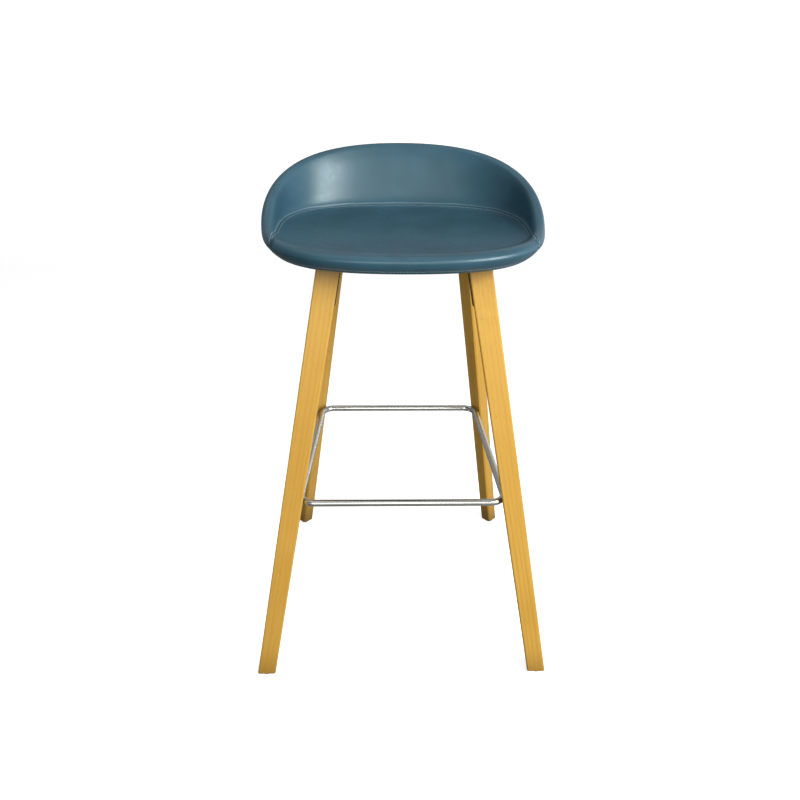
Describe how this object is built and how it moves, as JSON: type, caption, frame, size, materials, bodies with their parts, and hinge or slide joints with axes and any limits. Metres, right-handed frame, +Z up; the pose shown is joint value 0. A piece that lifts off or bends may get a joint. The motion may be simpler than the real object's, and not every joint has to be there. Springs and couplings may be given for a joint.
{
  "type": "bar stool",
  "caption": "Bar stool with a low wraparound upholstered tub seat, splayed tapering wooden legs and a bent round-rod footrest ring.",
  "frame": {"origin": "on the floor, under the middle of the stool's footprint", "axes": "+Z up, the sitter faces -Y, +X is to the sitter's left"},
  "size_m": [0.5182, 0.4806, 0.8524],
  "materials": {
    "wood": "clear satin lacquer over golden honey-coloured solid wood",
    "leather": "smooth semi-gloss dark teal-blue leather",
    "foam": "open-cell upholstery foam",
    "moulded_ply": "moulded plywood, unfinished",
    "stainless": "polished stainless round bar",
    "black_steel": "satin black powder coat",
    "zinc_steel": "zinc-plated steel",
    "brass_insert": "plain turned brass",
    "nylon": "dark nylon"
  },
  "bodies": {
    "root": {"front_left_leg": "wood", "front_right_leg": "wood", "rear_left_leg": "wood", "rear_right_leg": "wood", "front_left_glide": "nylon", "front_right_glide": "nylon", "rear_left_glide": "nylon", "rear_right_glide": "nylon", "leg_bolts": "zinc_steel", "leg_washers": "zinc_steel", "leg_inserts": "brass_insert", "footrest_screws": "zinc_steel", "seat_screws": "zinc_steel", "seat_washers": "zinc_steel", "footrest_ring": "stainless", "seat_plate": "black_steel", "seat_shell": "moulded_ply", "tee_nuts": "zinc_steel", "seat_foam": "foam", "back_foam": "foam", "seat_cover": "leather", "back_cover": "leather", "outer_cover": "leather", "rim_cover": "leather", "rim_padding": "foam"}
  },
  "joints": []
}
